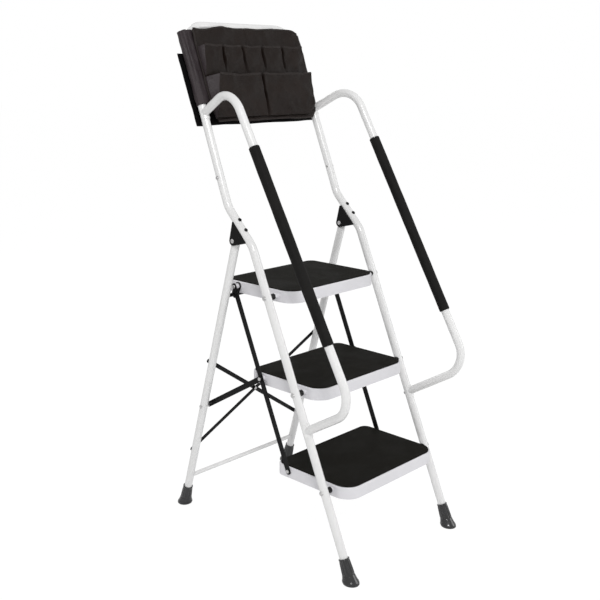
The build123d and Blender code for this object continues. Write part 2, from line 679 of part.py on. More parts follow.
def rest_hook():
    """Right hook on the top tread's side: it drops over the rest rod when the ladder stands open."""
    x = TREADS["top"][1] + MAT_LIP + FIT
    rod_y, rod_z = rear_axis_y(REST_ROD_Z), REST_ROD_Z
    plane = Plane(origin=(x, 0, 0), x_dir=(0, 1, 0), z_dir=(1, 0, 0))
    boss = Pos(*link_pivot("top"))
    outline = make_hull([
        *(Pos(rod_y + HOOK_SET, rod_z) * Circle(REST_ROD_R + HOOK_RIM)).edges(),
        *(boss * Circle(BOSS_R + HOOK_RIM / 2)).edges(),
    ])
    hook = extrude(plane * (outline - boss * Circle(BOSS_R + FIT)), HOOK_THICK)
    clearance = Circle(REST_ROD_R + HOOK_MARGIN)
    path = [rod_in_tread_frame(HOOK_OPEN_SHARE * step / HOOK_STEPS) for step in range(HOOK_STEPS + 1)]
    for a, b in zip(path[:-1], path[1:]):
        ends = [*(Pos(*a) * clearance).edges(), *(Pos(*b) * clearance).edges()]
        hook -= extrude(plane * Pos(0, 0, -HOOK_THICK) * make_hull(ends), 3 * HOOK_THICK)
    return hook


# ---------------------------------------------------------------- tool pouch

def hoop_box(x0, x1, up0, up1, depth0, depth1):
    """Box in the hoop's own frame."""
    size = (x1 - x0, up1 - up0, depth1 - depth0)
    centre = Pos((x0 + x1) / 2, (up0 + up1) / 2, (depth0 + depth1) / 2)
    return HOOP_PLANE.location * centre * Box(*size)


def pouch_sleeve():
    """Fabric sleeve round the hoop, open at both ends, with an apron in front and a flap behind."""
    outer = RectangleRounded(2 * POUCH_HALF, 2 * POUCH_DEPTH, POUCH_DEPTH - POUCH_FLAT)
    inner_half, inner_depth = POUCH_HALF - POUCH_WALL, POUCH_DEPTH - POUCH_WALL
    inner = RectangleRounded(2 * inner_half, 2 * inner_depth, inner_depth - POUCH_FLAT)
    ring = outer - inner
    section = Plane(origin=hoop_point(0, POUCH_SIDE_BOTTOM), x_dir=(1, 0, 0), z_dir=HOOP_UP)
    sleeve = extrude(section * ring, POUCH_TOP - POUCH_SIDE_BOTTOM)
    apron = hoop_box(-APRON_HALF, APRON_HALF, POUCH_BOTTOM, POUCH_SIDE_BOTTOM + 1,
                     POUCH_DEPTH - POUCH_WALL, POUCH_DEPTH)
    behind = -POUCH_DEPTH - FLAP_BACK
    flap = hoop_box(-FLAP_HALF, FLAP_HALF, POUCH_BOTTOM, FLAP_TOP, behind, behind + POUCH_WALL)
    seam = hoop_box(-APRON_HALF, APRON_HALF, FLAP_TOP - FLAP_SEAM, FLAP_TOP,
                    behind, -POUCH_DEPTH + POUCH_WALL / 2)
    return sleeve + apron + flap + seam


def pocket_row(row, dividers, back):
    """Row of open-topped pockets sewn to the front: a front wall, a floor, two sides and dividers."""
    bottom, mouth, proud = row
    front = POUCH_DEPTH + proud
    block = hoop_box(-ROW_HALF, ROW_HALF, bottom, mouth, back, front)
    edges = [-ROW_HALF, *dividers, ROW_HALF]
    half_wall = POUCH_WALL / 2
    for left, right in zip(edges[:-1], edges[1:]):
        left_wall = POUCH_WALL if left == -ROW_HALF else half_wall
        right_wall = POUCH_WALL if right == ROW_HALF else half_wall
        block -= hoop_box(left + left_wall, right - right_wall, bottom + POUCH_WALL, mouth + POUCH_WALL,
                          back - POUCH_WALL, front - POUCH_WALL)
    return block


def build():
    os.makedirs("parts", exist_ok=True)
    names = list(TREADS)
    save_pair("front_leg", front_leg())
    save("upper_hoop", upper_hoop())
    save_pair("hand_rail", hand_rail())
    save_pair("grip", grip())
    rail_bolts = [rail_bolt(z) for z in (RAIL_LOW_JOINT_Z, RAIL_TOP_JOINT_Z)]
    save("rail_bolts", Compound(children=rail_bolts + [mirrored(bolt) for bolt in rail_bolts]))
    screw_at = hoop_point(hoop_axis_x(HOOP_SCREW_UP), HOOP_SCREW_UP)
    hoop_screw = x_rod(screw_at.X, screw_at.X + TUBE_R + 1, screw_at.Y, screw_at.Z, RIVET_R)
    hoop_screw += x_dome(screw_at.X + TUBE_R + GAP / 2, screw_at.Y, screw_at.Z, SMALL_HEAD_R, SMALL_HEAD_HEIGHT)
    save("hoop_screws", Compound(children=[hoop_screw, mirrored(hoop_screw)]))
    save_pair("hinge_bracket", hinge_bracket())
    screws = [bracket_screw(y, z) for y, z in bracket_screw_points()]
    save("bracket_screws", Compound(children=screws + [mirrored(screw) for screw in screws]))
    save("hinge_rivets", Compound(children=[hinge_rivet(), mirrored(hinge_rivet())]))
    save_pair("front_foot", foot(FRONT_X, -FOOT_SPREAD, LEG_UP))
    save("pivot_bolts", grouped(pivot_bolt, names))
    save("pivot_nuts", grouped(pivot_nut, names))
    save("pivot_bushes", grouped(pivot_bush, names))
    for name in names:
        save(f"{name}_tread", tread_pan(name))
        save(f"{name}_mat", tread_mat(name))
        save(f"{name}_link_rivets", grouped(link_rivet, [name]))
    save_pair("rest_hook", rest_hook())
    save_pair("tie_link", tie_link())
    save_pair("drive_link", drive_link())
    save_pair("drive_stud", drive_stud())
    save_pair("rear_leg", rear_leg())
    save("rear_crossbar", cross_rod(CROSSBAR_Z, CROSSBAR_R))
    save("rest_rod", cross_rod(REST_ROD_Z, REST_ROD_R))
    save("brace_right", brace(1, 0))
    save("brace_left", brace(-1, 1))
    save("brace_rivets", brace_rivets())
    save("drive_bolts", Compound(children=[drive_bolt(), mirrored(drive_bolt())]))
    save_pair("rear_foot", foot(REAR_X_FLOOR, FOOT_SPREAD, REAR_UP))
    save("pouch_sleeve", pouch_sleeve())
    save("upper_pockets", pocket_row(UPPER_ROW, UPPER_DIVIDERS, POUCH_DEPTH + FIT))
    save("lower_pockets", pocket_row(LOWER_ROW, LOWER_DIVIDERS, POUCH_DEPTH + FIT))


build()
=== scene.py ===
import math

import bmesh
import bpy
import numpy as np
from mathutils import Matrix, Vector


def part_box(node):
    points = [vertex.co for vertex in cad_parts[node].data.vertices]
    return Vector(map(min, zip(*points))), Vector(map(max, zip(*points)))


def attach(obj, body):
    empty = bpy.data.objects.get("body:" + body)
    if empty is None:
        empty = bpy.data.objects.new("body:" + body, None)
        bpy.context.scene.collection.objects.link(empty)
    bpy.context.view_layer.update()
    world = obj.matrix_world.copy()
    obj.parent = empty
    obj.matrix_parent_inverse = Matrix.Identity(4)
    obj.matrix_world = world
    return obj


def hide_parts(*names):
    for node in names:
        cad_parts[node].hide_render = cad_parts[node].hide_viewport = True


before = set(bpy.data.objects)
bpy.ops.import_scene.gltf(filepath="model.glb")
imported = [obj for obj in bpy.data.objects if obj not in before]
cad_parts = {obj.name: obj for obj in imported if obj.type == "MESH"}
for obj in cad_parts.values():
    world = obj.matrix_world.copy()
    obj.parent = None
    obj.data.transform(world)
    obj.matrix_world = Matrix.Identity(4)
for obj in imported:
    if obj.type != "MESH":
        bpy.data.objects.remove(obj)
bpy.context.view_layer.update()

# Metres. +X to the user's right, +Y towards the rear legs, +Z up, floor at Z = 0.

# ---------------------------------------------------------------- the ladder's own lines

TUBE_R = 0.011
FRONT_LEAN = math.radians(23.1)
REAR_LEAN = math.radians(16.42)
HOOP_LEAN = math.radians(21.4)
HOOP_FOOT = np.array([0.0, 0.11056, 0.9085])      # upper bend, in the middle plane
HOOP_SIDE = np.array([1.0, 0.0, 0.0])
HOOP_UP = np.array([0.0, math.sin(HOOP_LEAN), math.cos(HOOP_LEAN)])
HOOP_FRONT = np.array([0.0, -math.cos(HOOP_LEAN), math.sin(HOOP_LEAN)])
RAIL_LOW = np.array([0.2385, -0.3495, 0.472])
RAIL_TOP = np.array([0.229, 0.0715, 1.215])
GRIP_R = 0.014
GRIP_LENGTH = 0.522
GRIP_END_ROUND = 0.0022
GRIP_BORE_GAP = 0.00008


# ---------------------------------------------------------------- meshes from numpy surfaces

def grid_faces(rows, columns, around=False):
    """Quads of a rows by columns grid; the last column joins the first where it runs around."""
    wide = columns if around else columns - 1
    i, j = np.meshgrid(np.arange(rows - 1), np.arange(wide), indexing="ij")
    k = (j + 1) % columns
    quads = np.stack([i * columns + j, i * columns + k, (i + 1) * columns + k, (i + 1) * columns + j], axis=-1)
    return quads.reshape(-1, 4)


def mesh_object(name, points, faces, uv=None, smooth=True):
    """A mesh object at the origin from an array of points, an array of faces and one UV per point."""
    mesh = bpy.data.meshes.new(name)
    mesh.from_pydata(points.reshape(-1, 3).tolist(), [], faces.tolist())
    mesh.polygons.foreach_set("use_smooth", np.full(len(mesh.polygons), smooth))
    if uv is not None:
        layer = mesh.uv_layers.new(name="cloth")
        corner = np.zeros(len(mesh.loops), np.int32)
        mesh.loops.foreach_get("vertex_index", corner)
        layer.data.foreach_set("uv", uv.reshape(-1, 2)[corner].astype(np.float32).ravel())
    mesh.update()
    obj = bpy.data.objects.new(name, mesh)
    bpy.context.scene.collection.objects.link(obj)
    return obj


def closed_up(obj):
    """Merges the points of seams and poles, and turns every face of a closed shape outwards."""
    work = bmesh.new()
    work.from_mesh(obj.data)
    bmesh.ops.remove_doubles(work, verts=work.verts, dist=1e-6)
    bmesh.ops.recalc_face_normals(work, faces=work.faces)
    work.to_mesh(obj.data)
    work.free()
    return obj


def faced(obj, direction):
    """Turns an open sheet so that most of its area faces the given direction."""
    normals = np.zeros(len(obj.data.polygons) * 3, np.float32)
    areas = np.zeros(len(obj.data.polygons), np.float32)
    obj.data.polygons.foreach_get("normal", normals)
    obj.data.polygons.foreach_get("area", areas)
    if (normals.reshape(-1, 3) @ direction * areas).sum() < 0:
        obj.data.flip_normals()
    return obj


def cloth_wall(obj, thickness):
    """Gives a sheet its thickness, half to each side."""
    wall = obj.modifiers.new("cloth wall", "SOLIDIFY")
    wall.thickness = thickness
    wall.offset = 0.0


def unit_rows(vectors):
    """Each row divided by its own length."""
    return vectors / np.linalg.norm(vectors, axis=1, keepdims=True)


def run_length(line):
    """Distance along a line of points from its first point to each of them."""
    return np.concatenate([[0], np.cumsum(np.linalg.norm(np.diff(line, axis=0), axis=1))])


def cloth_uv(across, up):
    """UV in metres from two arrays that spread over one grid."""
    return np.stack(np.broadcast_arrays(across, up), axis=-1)


def in_hoop(x, up, out):
    """Points across, up and in front of the hoop: foot + x * side + up * up + out * front."""
    x, up, out = np.broadcast_arrays(x, up, out)
    return HOOP_FOOT + x[..., None] * HOOP_SIDE + up[..., None] * HOOP_UP + out[..., None] * HOOP_FRONT


def folds(a, b, seed, shortest, longest, count=9):
    """Soft creases from about -1 to 1: a sum of sine waves across (a, b), each with its own direction, length
    and phase, longer waves counting for more."""
    dice = np.random.default_rng(seed)
    turn = dice.uniform(0, math.pi, count)
    length = np.exp(dice.uniform(math.log(shortest), math.log(longest), count))
    phase = dice.uniform(0, 2 * math.pi, count)
    share = length / length.sum()
    run = a[..., None] * np.cos(turn) + b[..., None] * np.sin(turn)
    return (np.sin(2 * math.pi * run / length + phase) * share).sum(-1) * 2.0


def smooth_step(t):
    """0 below 0, 1 above 1, and 3t^2 - 2t^3 between."""
    t = np.clip(t, 0, 1)
    return t * t * (3 - 2 * t)


# ---------------------------------------------------------------- shader node groups

def new_group(name, inputs, outputs):
    """An empty shader group with (name, default) number inputs and (name, socket kind) outputs."""
    group = bpy.data.node_groups.new(name, "ShaderNodeTree")
    for label, value in inputs:
        socket = group.interface.new_socket(label, in_out="INPUT", socket_type="NodeSocketFloat")
        socket.default_value = value
        socket.min_value, socket.max_value = -1e4, 1e4
    group.interface.new_socket("Vector", in_out="INPUT", socket_type="NodeSocketVector")
    for label, kind in outputs:
        group.interface.new_socket(label, in_out="OUTPUT", socket_type=kind)
    return group, group.nodes.new("NodeGroupInput"), group.nodes.new("NodeGroupOutput")


def node(tree, kind, **settings):
    """Places a node; each setting is one of its input sockets or one of its own properties."""
    made = tree.nodes.new(kind)
    for key, value in settings.items():
        if key in made.inputs.keys():
            made.inputs[key].default_value = value
        else:
            setattr(made, key, value)
    return made


def math_node(tree, operation, first, second):
    """A Math node; each term is a number or an output socket."""
    made = tree.nodes.new("ShaderNodeMath")
    made.operation = operation
    for socket, term in zip(made.inputs, (first, second)):
        if isinstance(term, (int, float)):
            socket.default_value = term
        else:
            tree.links.new(term, socket)
    return made.outputs[0]


def remap(tree, value, low, high, to_low=0.0, to_high=1.0, kind="SMOOTHSTEP"):
    """Carries a value from the range low to high over to the range to_low to to_high."""
    made = tree.nodes.new("ShaderNodeMapRange")
    made.interpolation_type = kind
    for label, number in (("From Min", low), ("From Max", high), ("To Min", to_low), ("To Max", to_high)):
        made.inputs[label].default_value = number
    tree.links.new(value, made.inputs["Value"])
    return made.outputs["Result"]


def noise(tree, vector, scale, detail=3.0, roughness=0.5):
    """A noise between 0 and 1; the scale is a number or an output socket."""
    made = tree.nodes.new("ShaderNodeTexNoise")
    made.inputs["Detail"].default_value = detail
    made.inputs["Roughness"].default_value = roughness
    tree.links.new(vector, made.inputs["Vector"])
    if isinstance(scale, (int, float)):
        made.inputs["Scale"].default_value = scale
    else:
        tree.links.new(scale, made.inputs["Scale"])
    return made.outputs["Fac"]


FLOAT = "NodeSocketFloat"


def grain_group():
    """Fine grain: one noise at the grain's scale and one a few times coarser, as a height and a cloudy mask."""
    group, given, out = new_group("fine grain", [("Scale", 900.0), ("Cloud Scale", 14.0)],
                                  [("Height", FLOAT), ("Cloud", FLOAT)])
    fine = noise(group, given.outputs["Vector"], given.outputs["Scale"], 2.0)
    cloud = noise(group, given.outputs["Vector"], given.outputs["Cloud Scale"], 5.0, 0.6)
    group.links.new(fine, out.inputs["Height"])
    group.links.new(remap(group, cloud, 0.3, 0.7), out.inputs["Cloud"])
    return group


def scuff_group():
    """Handling marks: thin streaks where a stretched noise crosses its middle, thinned out by a slow noise."""
    group, given, out = new_group("handling scuffs", [("Scale", 60.0), ("Amount", 0.5)], [("Mask", FLOAT)])
    streak = noise(group, given.outputs["Vector"], given.outputs["Scale"], 6.0, 0.7)
    thin = remap(group, math_node(group, "ABSOLUTE", math_node(group, "SUBTRACT", streak, 0.5), 0.0),
                 0.0, 0.03, 1.0, 0.0)
    where = remap(group, noise(group, given.outputs["Vector"], 9.0, 3.0), 0.52, 0.7)
    mask = math_node(group, "MULTIPLY", math_node(group, "MULTIPLY", thin, where), given.outputs["Amount"])
    group.links.new(mask, out.inputs["Mask"])
    return group


def weave_group():
    """Plain weave: warp and weft are two crossed sine waves, |sin(u)| over |sin(v)| in a checkerboard of
    threads, with thick and thin places from a slow noise."""
    group, given, out = new_group("plain weave", [("Pitch", 0.0009), ("Slub", 0.4)],
                                  [("Height", FLOAT), ("Thread", FLOAT)])
    parts = node(group, "ShaderNodeSeparateXYZ")
    group.links.new(given.outputs["Vector"], parts.inputs[0])
    turns = []
    for axis in ("X", "Y"):
        along = math_node(group, "DIVIDE", parts.outputs[axis], given.outputs["Pitch"])
        turns.append(math_node(group, "MULTIPLY", along, math.pi))
    warp = math_node(group, "ABSOLUTE", math_node(group, "SINE", turns[0], 0.0), 0.0)
    weft = math_node(group, "ABSOLUTE", math_node(group, "SINE", turns[1], 0.0), 0.0)
    over = math_node(group, "MULTIPLY", math_node(group, "COSINE", turns[0], 0.0),
                     math_node(group, "COSINE", turns[1], 0.0))
    pick = remap(group, over, -0.2, 0.2)
    high = math_node(group, "ADD", math_node(group, "MULTIPLY", warp, pick),
                     math_node(group, "MULTIPLY", weft, math_node(group, "SUBTRACT", 1.0, pick)))
    uneven = noise(group, given.outputs["Vector"], 220.0, 2.0)
    slub = math_node(group, "MULTIPLY", math_node(group, "SUBTRACT", uneven, 0.5), given.outputs["Slub"])
    group.links.new(math_node(group, "ADD", high, slub), out.inputs["Height"])
    group.links.new(high, out.inputs["Thread"])
    return group


def rib_group():
    """Moulded ribs: a rounded saw of the given pitch along X, broken into short bars along Y."""
    group, given, out = new_group("moulded ribs", [("Pitch", 0.004), ("Bar Length", 0.03)],
                                  [("Height", FLOAT)])
    parts = node(group, "ShaderNodeSeparateXYZ")
    group.links.new(given.outputs["Vector"], parts.inputs[0])
    across = math_node(group, "DIVIDE", parts.outputs["X"], given.outputs["Pitch"])
    rib = remap(group, math_node(group, "PINGPONG", across, 0.5), 0.12, 0.32)
    along = math_node(group, "DIVIDE", parts.outputs["Y"], given.outputs["Bar Length"])
    row = math_node(group, "FLOOR", across, 0.0)
    shifted = math_node(group, "ADD", along, math_node(group, "MULTIPLY", row, 0.5))
    bar = remap(group, math_node(group, "PINGPONG", shifted, 0.5), 0.02, 0.05)
    group.links.new(math_node(group, "MULTIPLY", rib, bar), out.inputs["Height"])
    return group


GRAIN = grain_group()
SCUFFS = scuff_group()
WEAVE = weave_group()
RIBS = rib_group()


# ---------------------------------------------------------------- materials

def start_material(name, vector="Object"):
    """A Principled material and its coordinate socket."""
    material = bpy.data.materials.new(name)
    material.use_nodes = True
    tree = material.node_tree
    shader = tree.nodes["Principled BSDF"]
    coordinates = node(tree, "ShaderNodeTexCoord")
    return material, tree, shader, coordinates.outputs[vector]


def use(tree, group, vector, **values):
    """Places a shader group with its own values."""
    made = tree.nodes.new("ShaderNodeGroup")
    made.node_tree = group
    tree.links.new(vector, made.inputs["Vector"])
    for label, value in values.items():
        made.inputs[label.replace("_", " ")].default_value = value
    return made


def mix_colour(tree, factor, dark, light):
    """Mixes two colours, each a tuple or an output socket, by a factor socket."""
    made = tree.nodes.new("ShaderNodeMix")
    made.data_type = "RGBA"
    for socket, colour in ((made.inputs[6], dark), (made.inputs[7], light)):
        if isinstance(colour, tuple):
            socket.default_value = (*colour, 1)
        else:
            tree.links.new(colour, socket)
    tree.links.new(factor, made.inputs[0])
    return made.outputs[2]


def bump(tree, height, strength, distance, before=None):
    """A normal bent by a height, on top of an earlier bump where one is given."""
    made = tree.nodes.new("ShaderNodeBump")
    made.inputs["Strength"].default_value = strength
    made.inputs["Distance"].default_value = distance
    tree.links.new(height, made.inputs["Height"])
    if before is not None:
        tree.links.new(before, made.inputs["Normal"])
    return made.outputs["Normal"]


COAT_ROUGHNESS = 0.12
CLOUD_SHADE = 0.955           # how much darker the cloudy patches of a paint are


def powder_coat(name, colour, worn, roughness, coat, peel, specular=0.5, scuffed=0.14):
    """Powder coat: slight orange peel, a cloudy tone, and rubbed streaks that are duller."""
    material, tree, shader, place = start_material(name)
    grain = use(tree, GRAIN, place, Scale=420.0, Cloud_Scale=9.0)
    scuffs = use(tree, SCUFFS, place, Scale=70.0, Amount=scuffed)
    shade = tuple(c * CLOUD_SHADE for c in colour)
    tone = mix_colour(tree, grain.outputs["Cloud"], shade, colour)
    tree.links.new(mix_colour(tree, scuffs.outputs["Mask"], tone, worn), shader.inputs["Base Color"])
    cloudy = remap(tree, grain.outputs["Cloud"], 0.0, 1.0, roughness - 0.03, roughness + 0.05)
    rough = math_node(tree, "ADD", cloudy, math_node(tree, "MULTIPLY", scuffs.outputs["Mask"], 0.3))
    tree.links.new(rough, shader.inputs["Roughness"])
    tree.links.new(bump(tree, grain.outputs["Height"], peel, 0.0004), shader.inputs["Normal"])
    shader.inputs["Coat Weight"].default_value = coat
    shader.inputs["Coat Roughness"].default_value = COAT_ROUGHNESS
    shader.inputs["Specular IOR Level"].default_value = specular
    return material


def plated_steel(name):
    """Bright zinc plate: fine brushing, a faint warm and cool tone, and dull spots."""
    material, tree, shader, place = start_material(name)
    stretched = node(tree, "ShaderNodeMapping", Scale=(1.0, 14.0, 14.0))
    tree.links.new(place, stretched.inputs["Vector"])
    brushed = use(tree, GRAIN, stretched.outputs[0], Scale=240.0, Cloud_Scale=60.0)
    tone = mix_colour(tree, brushed.outputs["Cloud"], (0.50, 0.50, 0.53), (0.68, 0.67, 0.64))
    tree.links.new(tone, shader.inputs["Base Color"])
    tree.links.new(remap(tree, brushed.outputs["Height"], 0.2, 0.8, 0.22, 0.42), shader.inputs["Roughness"])
    tree.links.new(bump(tree, brushed.outputs["Height"], 0.15, 0.0002), shader.inputs["Normal"])
    shader.inputs["Metallic"].default_value = 1.0
    return material


def foam_skin(name):
    """Closed-cell foam: tiny open cells with painted shade in their pits, a velvety skin and a slow change of tone
    where hands hold it.
    """
    material, tree, shader, place = start_material(name)
    grain = use(tree, GRAIN, place, Scale=650.0, Cloud_Scale=18.0)
    cells = node(tree, "ShaderNodeTexVoronoi", Scale=900.0)
    tree.links.new(place, cells.inputs["Vector"])
    pore = remap(tree, cells.outputs["Distance"], 0.1, 0.5)
    skin = mix_colour(tree, grain.outputs["Cloud"], (0.0090, 0.0086, 0.0082), (0.0155, 0.0148, 0.0140))
    # painted shade: the sunk pits of the cells take the darker colour
    tree.links.new(mix_colour(tree, pore, (0.0075, 0.0073, 0.0075), skin), shader.inputs["Base Color"])
    tree.links.new(remap(tree, grain.outputs["Cloud"], 0.0, 1.0, 0.58, 0.72), shader.inputs["Roughness"])
    soft = bump(tree, grain.outputs["Height"], 0.35, 0.0005)
    tree.links.new(bump(tree, pore, 0.4, 0.0004, soft), shader.inputs["Normal"])
    shader.inputs["Specular IOR Level"].default_value = 0.08
    return material


def mat_rubber(name):
    """Ribbed rubber mat: short moulded bars, a fine grain and faint dust in the grooves."""
    material, tree, shader, place = start_material(name)
    ribs = use(tree, RIBS, place, Pitch=0.0042, Bar_Length=0.026)
    grain = use(tree, GRAIN, place, Scale=1200.0, Cloud_Scale=8.0)
    rubber = mix_colour(tree, grain.outputs["Cloud"], (0.0060, 0.0057, 0.0045), (0.0105, 0.0099, 0.0080))
    tree.links.new(mix_colour(tree, ribs.outputs["Height"], (0.0125, 0.0118, 0.0100), rubber),
                   shader.inputs["Base Color"])
    tree.links.new(remap(tree, grain.outputs["Cloud"], 0.0, 1.0, 0.62, 0.78), shader.inputs["Roughness"])
    fine = bump(tree, grain.outputs["Height"], 0.25, 0.0003)
    tree.links.new(bump(tree, ribs.outputs["Height"], 0.5, 0.0006, fine), shader.inputs["Normal"])
    shader.inputs["Specular IOR Level"].default_value = 0.04
    return material


def moulded(name, dark, light, roughness, gloss):
    """Moulded rubber or plastic: fine grain, cloudy tone and scuffs that are paler and duller."""
    material, tree, shader, place = start_material(name)
    grain = use(tree, GRAIN, place, Scale=800.0, Cloud_Scale=30.0)
    scuffs = use(tree, SCUFFS, place, Scale=140.0, Amount=0.4)
    tone = mix_colour(tree, grain.outputs["Cloud"], dark, light)
    pale = tuple(c * 2.6 + 0.01 for c in light)
    tree.links.new(mix_colour(tree, scuffs.outputs["Mask"], tone, pale), shader.inputs["Base Color"])
    cloudy = remap(tree, grain.outputs["Cloud"], 0.0, 1.0, roughness - 0.04, roughness + 0.06)
    rough = math_node(tree, "ADD", cloudy, math_node(tree, "MULTIPLY", scuffs.outputs["Mask"], 0.25))
    tree.links.new(rough, shader.inputs["Roughness"])
    tree.links.new(bump(tree, grain.outputs["Height"], 0.15, 0.0003), shader.inputs["Normal"])
    shader.inputs["Specular IOR Level"].default_value = gloss
    return material


def coated_cloth(name, dark, light, roughness, specular):
    """Coated polyester: plain weave on the cloth's own UV with painted highlight on the raised threads and painted
    shade between them, paler in cloudy patches, with a rumpled surface.
    """
    material, tree, shader, place = start_material(name, "UV")
    weave = use(tree, WEAVE, place, Pitch=0.0008, Slub=0.5)
    grain = use(tree, GRAIN, place, Scale=1500.0, Cloud_Scale=16.0)
    # painted highlight and shade: high points of the weave take the light colour, the hollows between threads the
    # dark one
    thread = mix_colour(tree, weave.outputs["Thread"], dark, light)
    worn = tuple(c * 1.35 for c in light)
    tone = remap(tree, grain.outputs["Cloud"], 0.45, 1.0, 0.0, 0.45)
    tree.links.new(mix_colour(tree, tone, thread, worn), shader.inputs["Base Color"])
    tree.links.new(remap(tree, grain.outputs["Cloud"], 0.0, 1.0, roughness - 0.05, roughness + 0.09),
                   shader.inputs["Roughness"])
    slow = use(tree, GRAIN, place, Scale=34.0, Cloud_Scale=11.0)
    rumpled = bump(tree, slow.outputs["Height"], 0.5, 0.004)
    fine = bump(tree, weave.outputs["Height"], 0.35, 0.0003, rumpled)
    tree.links.new(fine, shader.inputs["Normal"])
    shader.inputs["Specular IOR Level"].default_value = specular
    return material


TAPE_RIB = 0.0011             # pitch of the cross ribs


def ribbed_tape(name, dark, light):
    """Grosgrain binding tape: close cross ribs along the tape's own UV, with painted highlight on their crests and
    painted shade in their valleys, and a slight shine.
    """
    material, tree, shader, place = start_material(name, "UV")
    parts = node(tree, "ShaderNodeSeparateXYZ")
    tree.links.new(place, parts.inputs[0])
    turns = math_node(tree, "MULTIPLY", parts.outputs["X"], 2 * math.pi / TAPE_RIB)
    wave = math_node(tree, "SINE", turns, 0.0)
    rib = remap(tree, wave, -1.0, 1.0, kind="LINEAR")
    grain = use(tree, GRAIN, place, Scale=900.0, Cloud_Scale=22.0)
    # painted highlight and shade: rib crests take the light colour and rib valleys the dark one
    tree.links.new(mix_colour(tree, rib, dark, light), shader.inputs["Base Color"])
    tree.links.new(remap(tree, grain.outputs["Cloud"], 0.0, 1.0, 0.5, 0.66), shader.inputs["Roughness"])
    tree.links.new(bump(tree, rib, 0.4, 0.0003), shader.inputs["Normal"])
    shader.inputs["Specular IOR Level"].default_value = 0.2
    return material


WHITE_PAINT = powder_coat("white powder coat", (0.80, 0.798, 0.795), (0.6, 0.6, 0.6), 0.24, 0.3, 0.04)
TREAD_PAINT = powder_coat("tread powder coat", (0.73, 0.722, 0.75), (0.52, 0.52, 0.54), 0.34, 0.15, 0.08)
BLACK_PAINT = powder_coat("black powder coat", (0.0045, 0.0045, 0.0048), (0.02, 0.02, 0.021), 0.34, 0.0, 0.3,
                          specular=0.12, scuffed=0.3)
ZINC = plated_steel("bright zinc plate")
FOAM = foam_skin("closed cell foam")
MAT = mat_rubber("ribbed mat rubber")
SHOE = moulded("glossy shoe rubber", (0.0040, 0.0040, 0.0046), (0.0070, 0.0070, 0.0082), 0.16, 0.8)
BUSH = moulded("black nylon", (0.004, 0.004, 0.004), (0.008, 0.008, 0.008), 0.42, 0.25)
CLOTH = coated_cloth("brown black cloth", (0.0060, 0.0034, 0.0025), (0.0125, 0.0078, 0.0060), 0.46, 0.16)
BAND_CLOTH = coated_cloth("plum grey cloth", (0.0165, 0.0115, 0.0128), (0.0305, 0.0225, 0.0250), 0.42, 0.26)
LINING = coated_cloth("black lining cloth", (0.0025, 0.0023, 0.0025), (0.0050, 0.0047, 0.0050), 0.60, 0.10)
TAPE = ribbed_tape("dark binding tape", (0.010, 0.0075, 0.0065), (0.026, 0.019, 0.017))
THREAD = ribbed_tape("sewing thread", (0.020, 0.015, 0.014), (0.055, 0.043, 0.041))

FINISHES = [
    (WHITE_PAINT, ["front_leg_left", "front_leg_right", "upper_hoop", "hand_rail_left", "hand_rail_right",
                   "rear_leg_left", "rear_leg_right", "rear_crossbar"]),
    (TREAD_PAINT, ["bottom_tread", "middle_tread", "top_tread"]),
    (BLACK_PAINT, ["hinge_bracket_left", "hinge_bracket_right", "rest_rod", "brace_left", "brace_right",
                   "tie_link_left", "tie_link_right", "drive_link_left", "drive_link_right",
                   "rest_hook_left", "rest_hook_right", "bracket_screws"]),
    (ZINC, ["rail_bolts", "hoop_screws", "hinge_rivets", "pivot_bolts", "pivot_nuts",
            "brace_rivets", "drive_bolts", "drive_stud_left", "drive_stud_right", "bottom_link_rivets",
            "middle_link_rivets", "top_link_rivets"]),
    (MAT, ["bottom_mat", "middle_mat", "top_mat"]),
    (BUSH, ["pivot_bushes"]),
]


def finish_frame_nodes():
    """Every CAD node that shows gets its procedural finish."""
    for material, names in FINISHES:
        for name in names:
            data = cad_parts[name].data
            data.materials.clear()
            data.materials.append(material)


def finished(obj, material, body, slot, *stands_for):
    """Gives a new piece its finish and its body, and hides the CAD nodes it stands for. The slot is not used."""
    obj.data.materials.append(material)
    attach(obj, body)
    if stands_for:
        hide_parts(*stands_for)
    return obj


# ---------------------------------------------------------------- foam grips

def foam_grip(side):
    """Foam sleeve: a circle of radius r(t) carried along the rail's straight run. r rises from the rail to
    GRIP_R over the rounded ends, sinks by a hair where the foam is squeezed, and closes back on the tube."""
    up = RAIL_TOP - RAIL_LOW
    up = up / np.linalg.norm(up)
    middle = (RAIL_TOP + RAIL_LOW) / 2
    bore, end_round = TUBE_R + GRIP_BORE_GAP, GRIP_END_ROUND
    turn = np.linspace(0, math.pi / 2, 7)
    low_t = -GRIP_LENGTH / 2 + end_round * (1 - np.cos(turn))
    low_r = GRIP_R - end_round * (1 - np.sin(turn))
    run_t = np.linspace(-GRIP_LENGTH / 2 + end_round, GRIP_LENGTH / 2 - end_round, 120)[1:-1]
    run_r = GRIP_R + 0.00012 * np.sin(run_t * 41.0) + 0.00008 * np.sin(run_t * 97.0 + 1.3)
    bore_t = np.array([GRIP_LENGTH / 2, -GRIP_LENGTH / 2])
    t = np.concatenate([low_t, run_t, -low_t[::-1], bore_t, low_t[:1]])
    r = np.concatenate([low_r, run_r, low_r[::-1], [bore, bore], low_r[:1]])
    across = np.array([1.0, 0.0, 0.0]) - up[0] * up
    across = across / np.linalg.norm(across)
    third = np.cross(up, across)
    angle = np.linspace(0, 2 * math.pi, 48, endpoint=False)
    ring = np.cos(angle)[:, None] * across + np.sin(angle)[:, None] * third
    points = middle + t[:, None, None] * up + r[:, None, None] * ring
    points[..., 0] *= side
    obj = closed_up(mesh_object(f"foam_grip_{'right' if side > 0 else 'left'}", points,
                                grid_faces(len(t), len(angle), around=True)))
    name = "grip_right" if side > 0 else "grip_left"
    finished(obj, FOAM, "frame", "grip_foam", name)


# ---------------------------------------------------------------- rubber shoes

